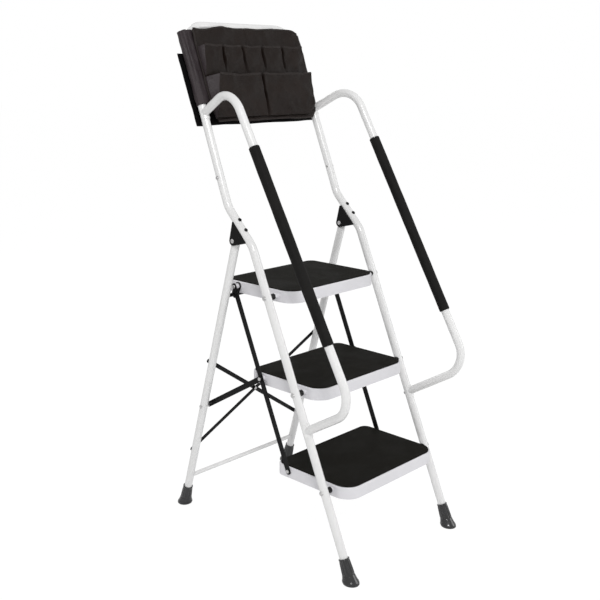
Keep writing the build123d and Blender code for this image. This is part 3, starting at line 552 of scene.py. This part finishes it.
FOOT_REACH = 0.327             # from the ladder's middle to the middle of a shoe's sole
FLUTES = 12
SHOE_ROUND = 96                # points round a shoe
SHOE_HEIGHTS = [0.0, 0.0, 0.0012, 0.0045, 0.007, 0.0085, 0.012, 0.017, 0.0215, 0.0225, 0.0235, 0.026,
                0.034, 0.042, 0.050, 0.0555, 0.0575, 0.0585, 0.0595, 0.060, 0.060]
SHOE_RADII = [0.0, 0.0195, 0.0208, 0.0214, 0.0212, 0.0204, 0.0190, 0.0176, 0.0166, 0.0160, 0.0160,
              0.0157, 0.0150, 0.0144, 0.0140, 0.0138, 0.0138, 0.0143, 0.0143, 0.0138, 0.01115]
SHOE_SOCKET = np.array([[0.060, 0.01105], [0.009, 0.01105], [0.009, 0.0]])      # height and radius inside
FLUTE_HEIGHTS, FLUTE_DEPTHS = [0.0225, 0.027, 0.050, 0.056], [0.0, 0.0010, 0.0008, 0.0]
TOE_HEIGHTS, TOE_SPREADS = [0.0, 0.009, 0.024], [1.10, 1.06, 1.0]
SHOE_TILT_HEIGHT = 0.045


def rubber_shoe(name, node_name, body, lean, toe):
    """Shoe round a leaning leg: rings carried up the leg's axis, tilting from level at the floor to square with
    the leg at the rim. Radius follows the shoe's profile, plus flutes cos(12 angle) on the neck and a toe that
    reaches further forward at the sole."""
    low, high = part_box(node_name)
    axis_x = (low.x + high.x) / 2
    start_y = toe * FOOT_REACH
    up = np.array([0.0, -toe * math.sin(lean), math.cos(lean)])
    outside = np.array(SHOE_HEIGHTS)
    flute = np.interp(outside, FLUTE_HEIGHTS, FLUTE_DEPTHS)
    spread = np.interp(outside, TOE_HEIGHTS, TOE_SPREADS)
    height = np.concatenate([outside, SHOE_SOCKET[:, 0]])
    radius = np.concatenate([np.array(SHOE_RADII), SHOE_SOCKET[:, 1]])
    flute = np.concatenate([flute, np.zeros(len(SHOE_SOCKET))])
    spread = np.concatenate([spread, np.ones(len(SHOE_SOCKET))])
    angle = np.linspace(0, 2 * math.pi, SHOE_ROUND, endpoint=False)
    tilt = smooth_step(height / SHOE_TILT_HEIGHT) * lean
    sideways = np.array([1.0, 0.0, 0.0])
    across = np.stack([np.zeros_like(tilt), np.cos(tilt), toe * np.sin(tilt)], axis=-1)
    ripple = 1 + flute[:, None] / np.maximum(radius, 0.001)[:, None] * np.cos(FLUTES * angle)
    size = radius[:, None] * ripple
    reach = np.where(np.sin(angle) * toe > 0, spread[:, None], 1.0)
    centre = np.array([axis_x, start_y, 0.0]) + height[:, None] / math.cos(lean) * up
    points = (centre[:, None, :] + (size * np.cos(angle))[..., None] * sideways
              + (size * reach * np.sin(angle))[..., None] * across[:, None, :])
    points[..., 2] = np.maximum(points[..., 2], 0.0)
    obj = closed_up(mesh_object(name, points, grid_faces(len(height), len(angle), around=True)))
    finished(obj, SHOE, body, "foot_rubber", node_name)


# ---------------------------------------------------------------- tool pouch

# Heights run up the hoop from its foot, and x runs across it.
POUCH_HALF = 0.2206
POUCH_TOP = 0.4862
POUCH_SAG = 0.0035
RIGHT_DROP, LEFT_DROP = 0.015, 0.0105
SLEEVE_DEPTH = 0.0138
SLEEVE_LOW = 0.2755
SLEEVE_HUG = 0.30              # share of its depth that the sleeve loses between the legs
SHALLOWEST = -0.0016           # how far a fold may sink into the cloth behind it
PANEL_HALF = 0.2035
PANEL_LEFT = -0.1875
PANEL_LOW = 0.227
PANEL_STAND = 0.0172           # in front of the hoop's middle plane
PANEL_SINK = 0.0028
SEAM_SINK, SEAM_WIDTH = 0.0016, 0.003
POCKETS_END = 0.42             # above this height the panel is bare
FLAP_HALF = 0.2258
FLAP_LOW, FLAP_TOP = 0.2265, 0.4245
FLAP_STAND = -0.0196
ROW_HALF = 0.186
UPPER_ROW = (0.3475, 0.4280, 0.0040, 0.0180)     # floor, mouth, how far it stands out below and at the mouth
LOWER_ROW = (0.2340, 0.3460, 0.0080, 0.0275)
UPPER_SEAMS = np.array([-0.1116, -0.0372, 0.0372, 0.1116])
LOWER_SEAMS = np.array([0.0])
PLEAT_WIDTH, PLEAT_DEPTH = 0.0046, 0.98
MOUTH_NOTCH = 0.0045           # dip of the mouth at a seam
CORNER_RAISE = 0.013           # the row's lower right corner is cut off by this much
GUSSET_BELLY = 0.0016
GUSSET_COLUMNS = 10            # grid columns in each of a row's two ends
ROW_GAP = 0.0007               # between a pocket row and the panel behind it
TAPE_SIDES = 14
STITCH_PITCH, STITCH_LENGTH, STITCH_R = 0.0034, 0.0023, 0.00032
STITCH_LIFT = 0.0007


def pouch_top(x):
    """Height of the pouch's upper edge: it sags a little between the corners and drops towards both."""
    sag = POUCH_SAG * np.cos(np.clip(x / POUCH_HALF, -1, 1) * math.pi / 2) ** 2
    drop = RIGHT_DROP * smooth_step((x - 0.155) / 0.06) + LEFT_DROP * smooth_step((-0.08 - x) / 0.09)
    return POUCH_TOP - sag - drop + 0.0008 * np.sin(x * 61.0 + 0.5)


def sleeve_cloth():
    """Sleeve round the hoop: a stadium (two straight runs and two half circles round the hoop's legs) carried up
    the hoop. Its straight runs pull in by a share of cos^2(pi x / 2 flat), and creases run up along the legs."""
    rows, straight, bend = 60, 110, 22
    flat = POUCH_HALF - SLEEVE_DEPTH
    run = np.linspace(-flat, flat, straight)
    turn = np.linspace(math.pi / 2, -math.pi / 2, bend + 2)[1:-1]
    x = np.concatenate([run, flat + SLEEVE_DEPTH * np.cos(turn), run[::-1], -flat - SLEEVE_DEPTH * np.cos(turn)])
    side = np.concatenate([np.ones(straight), np.sin(turn), -np.ones(straight), -np.sin(turn)])
    out = side * SLEEVE_DEPTH
    outward_x = np.concatenate([np.zeros(straight), np.cos(turn), np.zeros(straight), -np.cos(turn)])
    rise = np.linspace(0, 1, rows)[:, None]
    up = SLEEVE_LOW + rise * (pouch_top(x) - SLEEVE_LOW)
    hug = np.cos(np.clip(x / flat, -1, 1) * math.pi / 2) ** 2
    out = out * (1 - SLEEVE_HUG * hug)
    near_leg = smooth_step((np.abs(x) - 0.185) / 0.02)
    crease = folds(x * 2.5 + out * 3.0, up * 0.45, 11, 0.022, 0.08) * 0.0016
    crease = crease + folds(x, up, 12, 0.02, 0.06) * 0.0006
    grow = np.maximum(crease * (0.35 + 0.65 * near_leg), SHALLOWEST)
    points = in_hoop(x + outward_x * grow, up, out + side * grow)
    ends = np.concatenate([[0], np.cumsum(np.hypot(np.diff(x), np.diff(out)))])
    obj = mesh_object("pouch_sleeve_cloth", points, grid_faces(rows, len(x), around=True), cloth_uv(ends, up))
    cloth_wall(obj, thickness=0.0008)
    finished(obj, BAND_CLOTH, "pouch", "pouch_fabric", "pouch_sleeve")


def panel_out(x, up):
    """How far the front panel stands in front of the hoop: it lies on the sleeve, sinks between the legs, and
    has a sunk seam, SEAM_SINK * exp(-(x / SEAM_WIDTH)^2), up the middle above the pockets."""
    sink = PANEL_SINK * np.cos(np.clip(x / PANEL_HALF, -1, 1) * math.pi / 2)
    seam = -SEAM_SINK * np.exp(-(x / SEAM_WIDTH) ** 2) * smooth_step((up - POCKETS_END) / 0.01)
    fuller = 0.7 + 0.6 * smooth_step((up - POCKETS_END) / 0.03)
    wave = folds(x, up, 21, 0.024, 0.12) * 0.0026 * fuller
    return PANEL_STAND - sink + seam + np.maximum(wave, SHALLOWEST)


def front_panel():
    """Front panel: a sheet on a grid of x and height, from the apron's hem to the pouch's upper edge, with
    lower corners cut off at a slant."""
    columns, rows = 206, 132
    x = np.linspace(PANEL_LEFT, PANEL_HALF, columns)
    rise = np.linspace(0, 1, rows)[:, None]
    low = PANEL_LOW + 0.020 * smooth_step((np.abs(x) - 0.183) / 0.022) + 0.0012 * np.sin(x * 33.0)
    up = low + rise * (pouch_top(x) + 0.0006 - low)
    narrow = 1 - 0.045 * smooth_step((0.27 - up) / 0.045)
    points = in_hoop(x * narrow, up, panel_out(x * narrow, up))
    obj = faced(mesh_object("pouch_front_panel", points, grid_faces(rows, columns), cloth_uv(x, up)), HOOP_FRONT)
    cloth_wall(obj, thickness=0.0010)
    finished(obj, CLOTH, "pouch", "pouch_fabric")
    return points


def back_flap():
    """Loose lining flap behind the hoop: a sheet on a grid, sewn on along its top and hanging in soft waves
    that grow towards its hem."""
    columns, rows = 150, 84
    x = np.linspace(-FLAP_HALF, FLAP_HALF, columns)
    rise = np.linspace(0, 1, rows)[:, None]
    up = FLAP_LOW + rise * (FLAP_TOP - FLAP_LOW) + 0.0008 * np.sin(x * 40)
    hang = 1 - rise
    spread_x = x + 0 * up
    long_waves = folds(spread_x, up * 0.3, 31, 0.05, 0.2)
    short_waves = folds(spread_x, up, 32, 0.03, 0.08)
    out = FLAP_STAND - 0.0018 * hang * long_waves - 0.0006 * short_waves
    obj = mesh_object("pouch_back_flap", in_hoop(x, up, out), grid_faces(rows, columns), cloth_uv(x, up))
    faced(obj, -HOOP_FRONT)
    cloth_wall(obj, thickness=0.0011)
    finished(obj, LINING, "pouch", "pouch_fabric")


def pocket_valleys(x, seams, width):
    """1 on a sewn seam, falling off as exp(-(|x - seam| / width)^3) to 0, so the pleat has steep walls."""
    return np.exp(-(np.abs(x[..., None] - seams) / width) ** 3).sum(-1)


def pocket_fronts(name, row, seams, seed, bulge, node_name, flop_left, flop_right):
    """Row of pockets from one folded sheet. Across, the sheet leaves the panel, turns a corner and runs over
    the pockets, dipping back to the panel at each seam. Up, it starts with the pockets' floor and stands out
    further towards the mouth. Each pocket bulges by (1 - s^2) across itself, and the row's ends flop sideways."""
    floor, mouth, stand_low, stand_high = row
    turn, columns, lips, rises = GUSSET_COLUMNS, 300, 6, 74
    corner = np.linspace(0, 1, turn)
    x = np.concatenate([np.full(turn, -ROW_HALF), np.linspace(-ROW_HALF, ROW_HALF, columns)[1:-1],
                        np.full(turn, ROW_HALF)])
    share = np.concatenate([corner, np.ones(columns - 2), corner[::-1]])
    rise = np.concatenate([np.zeros(lips), np.linspace(0, 1, rises) ** 0.9])[:, None]
    lip = np.concatenate([np.linspace(0, 1, lips), np.ones(rises)])[:, None]
    edges = np.concatenate([[-ROW_HALF], seams, [ROW_HALF]])
    index = np.clip(np.searchsorted(edges, x, side="right") - 1, 0, len(edges) - 2)
    half = (edges[index + 1] - edges[index]) / 2
    own = (x - edges[index] - half) / half
    dice = np.random.default_rng(seed)
    fullness = dice.uniform(0.75, 1.2, len(edges) - 1)[index]
    dip = dice.uniform(0.001, 0.0042, len(edges) - 1)[index]
    lean = dice.uniform(-0.25, 0.4, len(edges) - 1)[index]
    valley = np.clip(pocket_valleys(x, seams, PLEAT_WIDTH), 0, 1) * (0.75 + 0.25 * rise)
    stand = stand_low + (stand_high - stand_low) * rise ** 0.8
    dome = 1 - own ** 2
    swell = np.sin(np.clip(rise * 1.15, 0, 1) * math.pi) ** 0.8
    crown = bulge * dome * (1 + lean * own) * fullness * swell
    wave = folds(x + 0 * rise, floor + rise * (mouth - floor), seed + 1, 0.018, 0.08) * 0.0019 * share
    wave = wave * smooth_step(rise * 6) + dome * dip * rise ** 4 * -0.5
    floor = floor + CORNER_RAISE * smooth_step((x - 0.160) / 0.026)
    up = floor + rise * (mouth - floor) - dip * rise ** 3 * dome - MOUTH_NOTCH * valley * rise ** 8
    back = panel_out(x, up) + ROW_GAP
    out = back + share * lip * (stand * (1 - PLEAT_DEPTH * valley) + crown + wave)
    out = np.maximum(out, back)
    belly = (1 - np.abs(2 * share - 1)) * GUSSET_BELLY * rise
    outer = smooth_step((np.abs(x) - ROW_HALF * 0.4) / (ROW_HALF * 0.6))
    flop = np.where(x < 0, flop_left, flop_right) * share * rise * outer
    side = x + np.sign(x) * belly + flop
    points = in_hoop(side, up, out)
    run = np.concatenate([[0], np.cumsum(np.hypot(np.diff(x), np.diff(share) * stand_high))])
    obj = faced(mesh_object(name, points, grid_faces(len(rise), len(x)), cloth_uv(run, up + out)), HOOP_FRONT)
    cloth_wall(obj, thickness=0.0009)
    finished(obj, CLOTH, "pouch", "pouch_fabric", node_name)
    # The row's two ends, the gussets, take the paler plum cloth: partly the band's own cloth, partly painted light
    # for the light falling on these side faces.
    obj.data.materials.append(BAND_CLOTH)
    column = np.tile(np.arange(len(x) - 1), len(rise) - 1)
    gusset = (column < turn - 1) | (column > len(x) - turn - 1)
    obj.data.polygons.foreach_set("material_index", gusset.astype(np.int32))
    return points


def edge_tape(name, line, side_way, width, thick):
    """Binding tape folded over a cloth edge: a flat oval section, width across the cloth and thick through it,
    carried along the edge's line."""
    along = unit_rows(np.gradient(line, axis=0))
    through = unit_rows(HOOP_FRONT - (along @ HOOP_FRONT)[:, None] * along)
    across = np.cross(along, through)
    across = across * np.sign((across @ side_way).sum())
    angle = np.linspace(0, 2 * math.pi, TAPE_SIDES, endpoint=False)
    wide = np.sign(np.cos(angle)) * np.abs(np.cos(angle)) ** 0.6 * width / 2
    deep = np.sign(np.sin(angle)) * np.abs(np.sin(angle)) ** 0.8 * thick / 2
    points = (line[:, None, :] + wide[None, :, None] * across[:, None, :]
              + deep[None, :, None] * through[:, None, :])
    first, last = line[:1, None, :].repeat(TAPE_SIDES, 1), line[-1:, None, :].repeat(TAPE_SIDES, 1)
    points = np.concatenate([first, points, last])
    run = run_length(line)
    run = np.concatenate([run[:1], run, run[-1:]])
    uv = cloth_uv(run[:, None], angle[None, :] * 0.002)
    obj = closed_up(mesh_object(name, points, grid_faces(len(points), TAPE_SIDES, around=True), uv))
    finished(obj, TAPE, "pouch", "pouch_fabric")


def stitch_row(name, lines):
    """Rows of stitches: one small spindle with blunt ends, set down at every STITCH_PITCH along each line and
    turned to follow it."""
    rings, sides = 5, 6
    t = np.linspace(0, 1, rings)
    round_end = np.array([0.0, 0.85, 1.0, 0.85, 0.0])
    angle = np.linspace(0, 2 * math.pi, sides, endpoint=False)
    places, headings = [], []
    for line in lines:
        step = run_length(line)
        at = np.arange(STITCH_PITCH, step[-1] - STITCH_PITCH, STITCH_PITCH)
        spot = np.stack([np.interp(at, step, line[:, k]) for k in range(3)], axis=-1)
        ahead = np.stack([np.interp(at + STITCH_PITCH / 2, step, line[:, k]) for k in range(3)], axis=-1)
        places.append(spot)
        headings.append(ahead - spot)
    place, heading = np.concatenate(places), unit_rows(np.concatenate(headings))
    through = unit_rows(HOOP_FRONT - (heading @ HOOP_FRONT)[:, None] * heading)
    across = np.cross(heading, through)
    shape = (place[:, None, None, :] + ((t - 0.5) * STITCH_LENGTH)[None, :, None, None] * heading[:, None, None, :]
             + (STITCH_R * round_end[:, None] * np.cos(angle))[None, :, :, None] * across[:, None, None, :]
             + (STITCH_R * round_end[:, None] * np.sin(angle))[None, :, :, None] * through[:, None, None, :])
    one = grid_faces(rings, sides, around=True)
    faces = (one[None] + (np.arange(len(place)) * rings * sides)[:, None, None]).reshape(-1, 4)
    uv = np.broadcast_to(t[None, :, None, None] * np.full(2, STITCH_LENGTH), (len(place), rings, sides, 2))
    obj = mesh_object(name, shape, faces, uv.copy())
    finished(closed_up(obj), THREAD, "pouch", "pouch_fabric")


def make_pouch():
    """The whole pouch, from the sleeve on the hoop outwards to the tapes and stitches."""
    sleeve_cloth()
    panel = front_panel()
    back_flap()
    upper = pocket_fronts("pouch_upper_pockets", UPPER_ROW, UPPER_SEAMS, 41, 0.0034, "upper_pockets", 0.012, 0.005)
    lower = pocket_fronts("pouch_lower_pockets", LOWER_ROW, LOWER_SEAMS, 57, 0.0060, "lower_pockets", 0.030, 0.004)
    front = slice(GUSSET_COLUMNS - 1, 1 - GUSSET_COLUMNS)
    for name, line, side_way, width, thick in (
            ("tape_upper_mouth", upper[-1, front], HOOP_UP, 0.0065, 0.0022),
            ("tape_lower_mouth", lower[-1, front], HOOP_UP, 0.0070, 0.0024),
            ("tape_panel_top", panel[-1, 1:-1], HOOP_UP, 0.0060, 0.0026),
            ("tape_panel_hem", panel[0, 1:-1], HOOP_UP, 0.0070, 0.0026),
            ("tape_panel_left", panel[2:-2, 0], HOOP_SIDE, 0.0070, 0.0028),
            ("tape_panel_right", panel[2:-2, -1], HOOP_SIDE, 0.0070, 0.0028)):
        edge_tape(name, line, side_way, width, thick)
    hems = [upper[-8, front], lower[-6, front], panel[-5, 2:-2], panel[5, 4:-4]]
    sides = [panel[4:-4, 5], panel[4:-4, -6], panel[100:-2, 101], panel[100:-2, 104]]
    stitch_row("hem_stitches", [line + STITCH_LIFT * HOOP_FRONT for line in hems + sides])


# ---------------------------------------------------------------- floor, light and camera

WORLD_LIGHT = 0.58
GLOSS_LIGHT = 0.70
FLOOR_WHITE = 0.90             # share of plain white in what the camera sees of the floor
FLOOR_REACH = 30.0
FLOOR_DEPTH = -0.0004
LAMPS = [
    ("key lamp", (-2.2, -2.6, 3.4), (0, 0, 0.6), 1.2, 76.0),
    ("fill lamp", (2.6, -2.6, 1.6), (0, 0, 0.7), 2.0, 22.0),
    ("rim lamp", (0.6, 3.0, 2.6), (0, 0, 0.8), 1.6, 18.0),
]
EYE = (-1.7779, -1.6630, 1.2447)
LOOK_AT = (-0.4275, -0.3584, 0.7735)
LENS_MM, SENSOR_MM = 54.71, 36.0
SHIFT_X, SHIFT_Y = -0.0004, 0.0045


def aimed(obj, place, target):
    """Puts a lamp or camera in its place and turns it to the target."""
    obj.location = place
    obj.rotation_euler = (Vector(target) - Vector(place)).to_track_quat("-Z", "Y").to_euler()
    bpy.context.scene.collection.objects.link(obj)


def floor_and_light():
    """Pale floor that the camera sees as white away from the ladder, a white surround and three soft lamps."""
    step = np.linspace(-FLOOR_REACH, FLOOR_REACH, 3)
    gx, gy = np.meshgrid(step, step, indexing="xy")
    level = np.full_like(gx, FLOOR_DEPTH)
    floor = mesh_object("floor", np.stack([gx, gy, level], axis=-1), grid_faces(3, 3), smooth=False)
    material = bpy.data.materials.new("pale floor")
    material.use_nodes = True
    tree = material.node_tree
    shader = tree.nodes["Principled BSDF"]
    shader.inputs["Roughness"].default_value = 0.8
    shader.inputs["Specular IOR Level"].default_value = 0.1
    place = node(tree, "ShaderNodeTexCoord").outputs["Object"]
    cloud = noise(tree, place, 2.0)
    tree.links.new(mix_colour(tree, cloud, (0.90, 0.90, 0.90), (0.93, 0.93, 0.93)), shader.inputs["Base Color"])
    white = node(tree, "ShaderNodeEmission", Strength=1.05)
    blend = tree.nodes.new("ShaderNodeMixShader")
    share = math_node(tree, "MULTIPLY", node(tree, "ShaderNodeLightPath").outputs["Is Camera Ray"], FLOOR_WHITE)
    tree.links.new(share, blend.inputs[0])
    tree.links.new(shader.outputs[0], blend.inputs[1])
    tree.links.new(white.outputs[0], blend.inputs[2])
    tree.links.new(blend.outputs[0], tree.nodes["Material Output"].inputs["Surface"])
    floor.data.materials.append(material)

    world = bpy.data.worlds.new("white surround")
    bpy.context.scene.world = world
    world.use_nodes = True
    tree = world.node_tree
    background = tree.nodes["Background"]
    path = node(tree, "ShaderNodeLightPath")
    seen = math_node(tree, "MAXIMUM", path.outputs["Is Camera Ray"], path.outputs["Is Transmission Ray"])
    bright = remap(tree, path.outputs["Is Glossy Ray"], 0.0, 1.0, WORLD_LIGHT, GLOSS_LIGHT, "LINEAR")
    tree.links.new(math_node(tree, "MAXIMUM", bright, seen), background.inputs["Strength"])
    background.inputs["Color"].default_value = (1, 1, 1, 1)
    for name, place, target, size, power in LAMPS:
        data = bpy.data.lights.new(name, "AREA")
        data.shape = "DISK"
        data.size = size
        data.energy = power
        aimed(bpy.data.objects.new(name, data), place, target)


def camera():
    """The main view, from the front left and a little above."""
    data = bpy.data.cameras.new("camera")
    data.lens = LENS_MM
    data.sensor_width = SENSOR_MM
    data.sensor_fit = "HORIZONTAL"
    data.shift_x = SHIFT_X
    data.shift_y = SHIFT_Y
    data.clip_start, data.clip_end = 0.05, 60
    obj = bpy.data.objects.new("camera", data)
    aimed(obj, EYE, LOOK_AT)
    bpy.context.scene.camera = obj


# ---------------------------------------------------------------- the whole ladder

finish_frame_nodes()
for side in (1, -1):
    foam_grip(side)
    word = "right" if side > 0 else "left"
    rubber_shoe(f"front_shoe_{word}", f"front_foot_{word}", "frame", FRONT_LEAN, -1)
    rubber_shoe(f"rear_shoe_{word}", f"rear_foot_{word}", "rear_frame", REAR_LEAN, 1)
make_pouch()
floor_and_light()
camera()
bpy.context.scene.view_settings.view_transform = "Standard"
